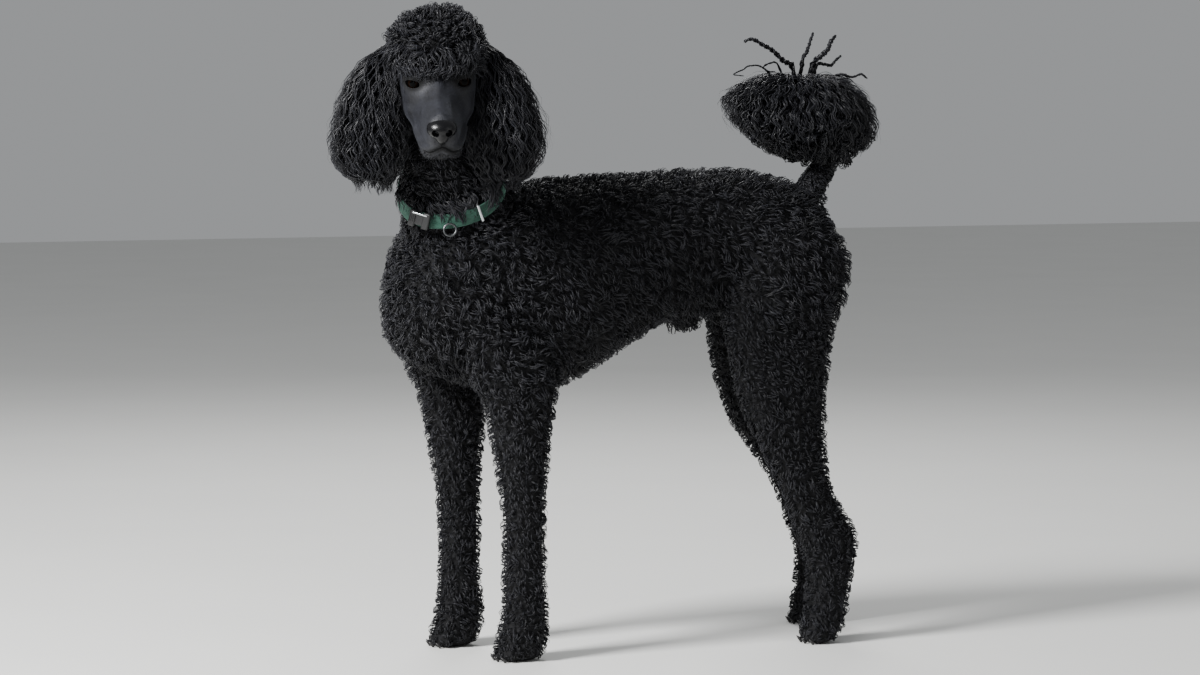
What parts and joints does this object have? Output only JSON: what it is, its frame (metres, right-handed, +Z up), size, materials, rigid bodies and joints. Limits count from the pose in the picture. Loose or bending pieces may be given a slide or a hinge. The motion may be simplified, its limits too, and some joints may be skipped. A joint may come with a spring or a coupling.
{
  "type": "standard poodle",
  "caption": "Standing standard poodle with a curly black coat, long haired ears, a pompon on a raised tail and a webbing collar, head turned to its left.",
  "frame": {"origin": "on the floor, under the middle of the bounding box in plan", "axes": "+Z up; the chest is towards -X and the tail towards +X; the left side of the dog is towards -Y, and the head looks that way"},
  "size_m": [0.8074, 0.353, 0.8651],
  "materials": {
    "coat": "tight black curls with a soft blue-grey sheen",
    "nose": "moist, finely pebbled black nose leather",
    "eye": "wet and very dark brown",
    "webbing": "woven green webbing",
    "buckle": "satin black plastic",
    "metal": "polished plated steel"
  },
  "bodies": {
    "root": {"collar_band": "webbing", "collar_buckle": "buckle", "collar_ring": "metal", "collar_slider": "metal", "ear_left": "coat", "ear_right": "coat", "eye_left": "eye", "eye_right": "eye", "front_leg_left": "coat", "front_leg_right": "coat", "head": "coat", "hind_leg_left": "coat", "hind_leg_right": "coat", "neck": "coat", "nose": "nose", "tail_pom": "coat", "tail_root": "coat", "torso": "coat"}
  },
  "joints": []
}
